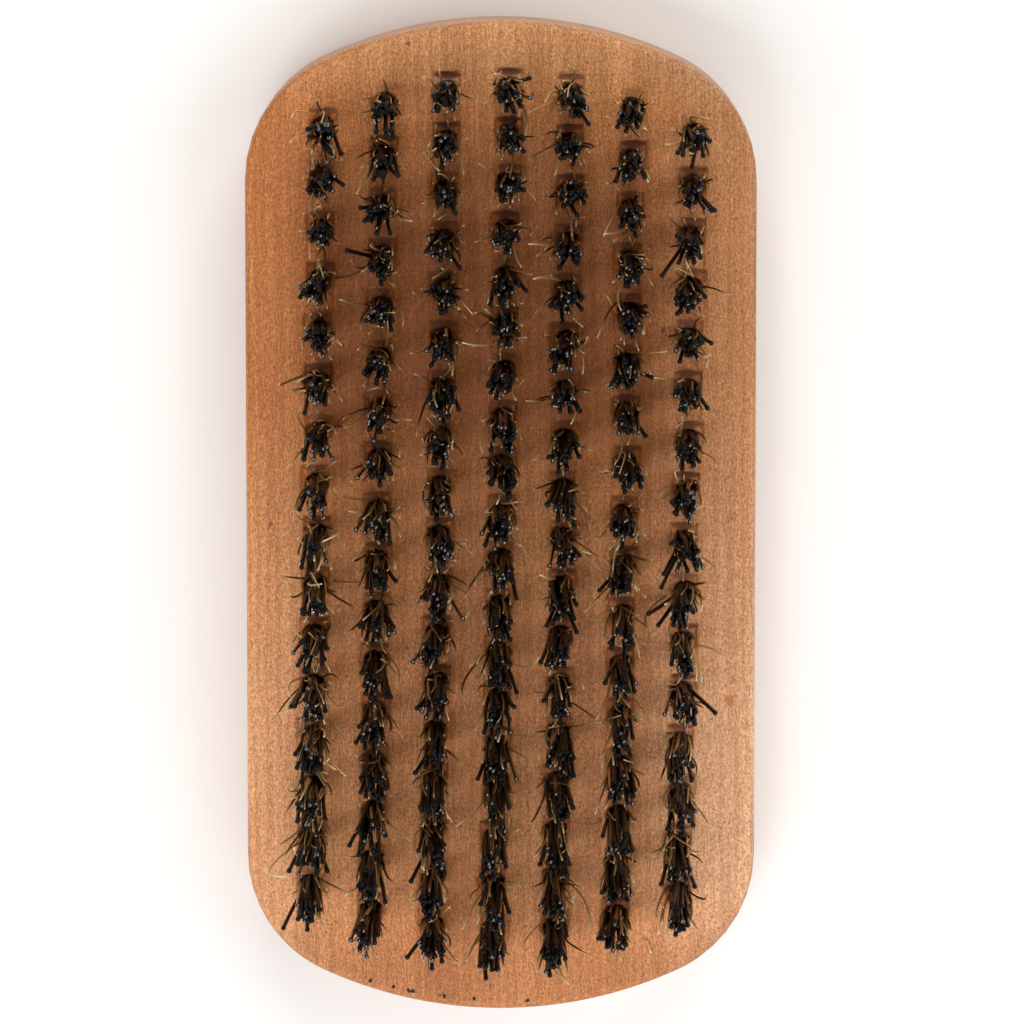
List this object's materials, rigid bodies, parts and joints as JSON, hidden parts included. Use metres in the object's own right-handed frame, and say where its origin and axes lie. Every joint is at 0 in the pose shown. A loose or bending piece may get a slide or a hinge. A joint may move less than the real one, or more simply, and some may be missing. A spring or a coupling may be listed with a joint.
{
  "type": "beard brush",
  "caption": "Palm-held wooden beard brush: an oblong block with arched ends, drilled in rows, with mixed stiff pin and natural bristle tufts held by flat wire anchors.",
  "frame": {"origin": "centre of the block's flat back, which the brush rests on", "axes": "+Z out of the bristled face, +Y along the block, +X across it"},
  "size_m": [0.064, 0.125, 0.031],
  "materials": {
    "wood": "satin, fine even grain",
    "bristle": "black nylon pins with ball tips among fawn boar bristle",
    "anchor_wire": "plain drawn flat wire"
  },
  "bodies": {
    "root": {"wood_block": "wood", "tuft_row_1": "bristle", "tuft_row_2": "bristle", "tuft_row_3": "bristle", "tuft_row_4": "bristle", "tuft_row_5": "bristle", "tuft_row_6": "bristle", "tuft_row_7": "bristle", "anchor_row_1": "anchor_wire", "anchor_row_2": "anchor_wire", "anchor_row_3": "anchor_wire", "anchor_row_4": "anchor_wire", "anchor_row_5": "anchor_wire", "anchor_row_6": "anchor_wire", "anchor_row_7": "anchor_wire"}
  },
  "joints": []
}
